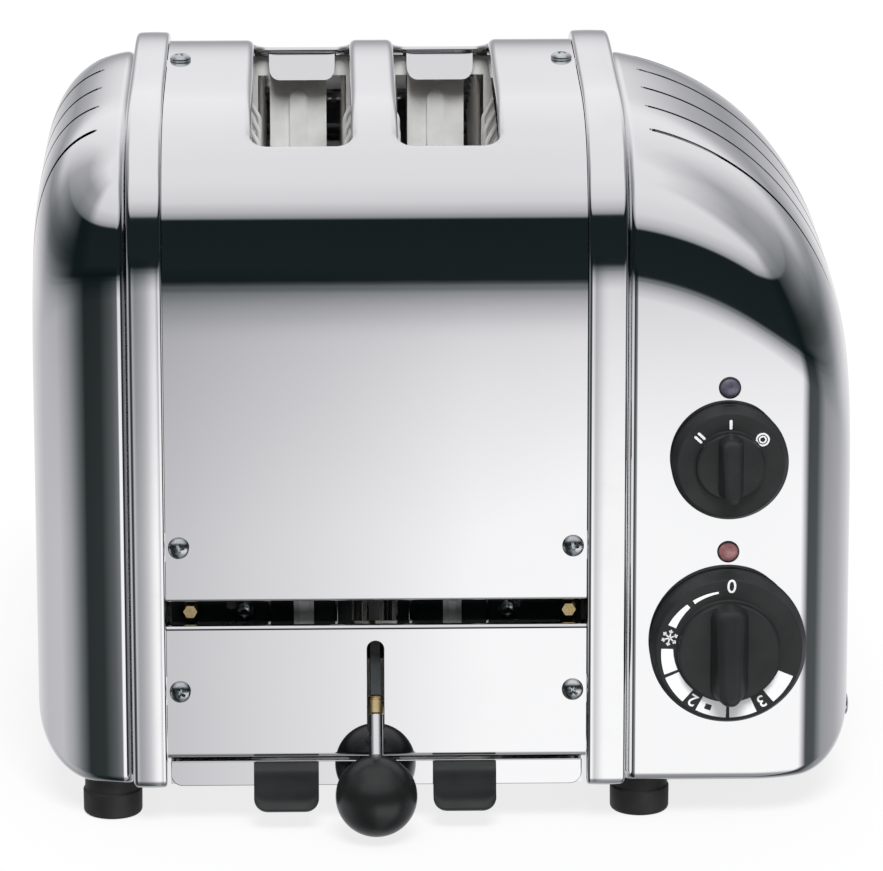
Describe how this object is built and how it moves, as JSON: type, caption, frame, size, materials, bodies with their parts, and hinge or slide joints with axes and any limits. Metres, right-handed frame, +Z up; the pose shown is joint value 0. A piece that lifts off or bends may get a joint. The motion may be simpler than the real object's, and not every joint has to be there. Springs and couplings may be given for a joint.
{
  "type": "two-slice toaster",
  "caption": "Polished steel two-slice toaster with curved end covers, ball-tipped bread lever, timer dial, element selector dial and slide-out crumb tray.",
  "frame": {"origin": "on the resting surface, under the middle of the bounding box", "axes": "+X to the right seen from the front, +Y to the rear, +Z up"},
  "size_m": [0.2526, 0.2134, 0.22],
  "materials": {
    "polished_steel": "mirror-polished stainless steel",
    "polished_frame": "polished cast aluminium",
    "plate_steel": "plain mill-finish steel",
    "screw_steel": "bright plated steel",
    "wire_steel": "bright drawn steel",
    "chrome": "bright chrome",
    "brass": "turned brass",
    "black_plastic": "satin black",
    "switch_body": "moulded black",
    "mica": "mica board",
    "winding": "nickel-chrome ribbon",
    "lens_dark": "smoked lens",
    "lens_rose": "dusky rose lens",
    "terminal_white": "off-white ceramic-filled",
    "foot_rubber": "black rubber"
  },
  "bodies": {
    "housing": {"base_plate": "plate_steel", "bottom_plate_left": "plate_steel", "bottom_plate_right": "plate_steel", "brass_pillars": "brass", "carriage_guide_rods": "wire_steel", "chamber_plate_front": "plate_steel", "chamber_plate_rear": "plate_steel", "cord_gland": "black_plastic", "element_board_left": "mica", "element_board_middle": "mica", "element_board_right": "mica", "element_windings": "winding", "end_cover_left": "polished_steel", "end_cover_right": "polished_steel", "end_cover_screws": "screw_steel", "end_frame_left": "polished_frame", "end_frame_right": "polished_frame", "foot_screws": "screw_steel", "guard_wires_left": "wire_steel", "guard_wires_right": "wire_steel", "lamp_holders": "black_plastic", "lamp_lens_lower": "lens_rose", "lamp_lens_upper": "lens_dark", "lower_front_panel": "polished_steel", "lower_rear_panel": "polished_steel", "panel_screws": "screw_steel", "pivot_brackets": "plate_steel", "pivot_shaft": "wire_steel", "rubber_feet": "foot_rubber", "selector_switch": "switch_body", "terminal_block": "terminal_white", "timer_body": "switch_body", "top_screws": "screw_steel", "upper_cover": "polished_steel"},
    "lever": {"lever_arm": "plate_steel", "lever_ferrule": "brass", "lever_rod": "chrome", "ball_knob": "black_plastic"},
    "carriage": {"carriage_plate": "plate_steel", "bread_rack_left": "plate_steel", "bread_rack_right": "plate_steel"},
    "tray": {"crumb_tray": "polished_steel", "tray_grips": "black_plastic"},
    "timer_dial": {"timer_knob": "black_plastic", "timer_shaft": "wire_steel"},
    "selector_dial": {"selector_knob": "black_plastic", "selector_shaft": "wire_steel"}
  },
  "joints": [
    {"name": "lever_hinge", "type": "hinge", "parent": "housing", "child": "lever", "pos_m": [-0.02185, -0.037, 0.047], "axis": [-1, 0, 0], "range_deg": [0, 22]},
    {"name": "carriage_slide", "type": "slide", "parent": "housing", "child": "carriage", "axis": [0, 0, 1], "range_m": [-0.0272, 0]},
    {"name": "tray_slide", "type": "slide", "parent": "housing", "child": "tray", "axis": [0, 1, 0], "range_m": [0, 0.15]},
    {"name": "timer_turn", "type": "hinge", "parent": "housing", "child": "timer_dial", "pos_m": [0.0859, -0.077, 0.0573], "axis": [0, 1, 0], "range_deg": [0, 255]},
    {"name": "selector_turn", "type": "hinge", "parent": "housing", "child": "selector_dial", "pos_m": [0.0859, -0.077, 0.1156], "axis": [0, 1, 0], "range_deg": [-48, 48]}
  ],
  "couplings": [
    {"joint": "carriage_slide", "follows": "lever_hinge", "m_per_rad": -0.0696}
  ]
}
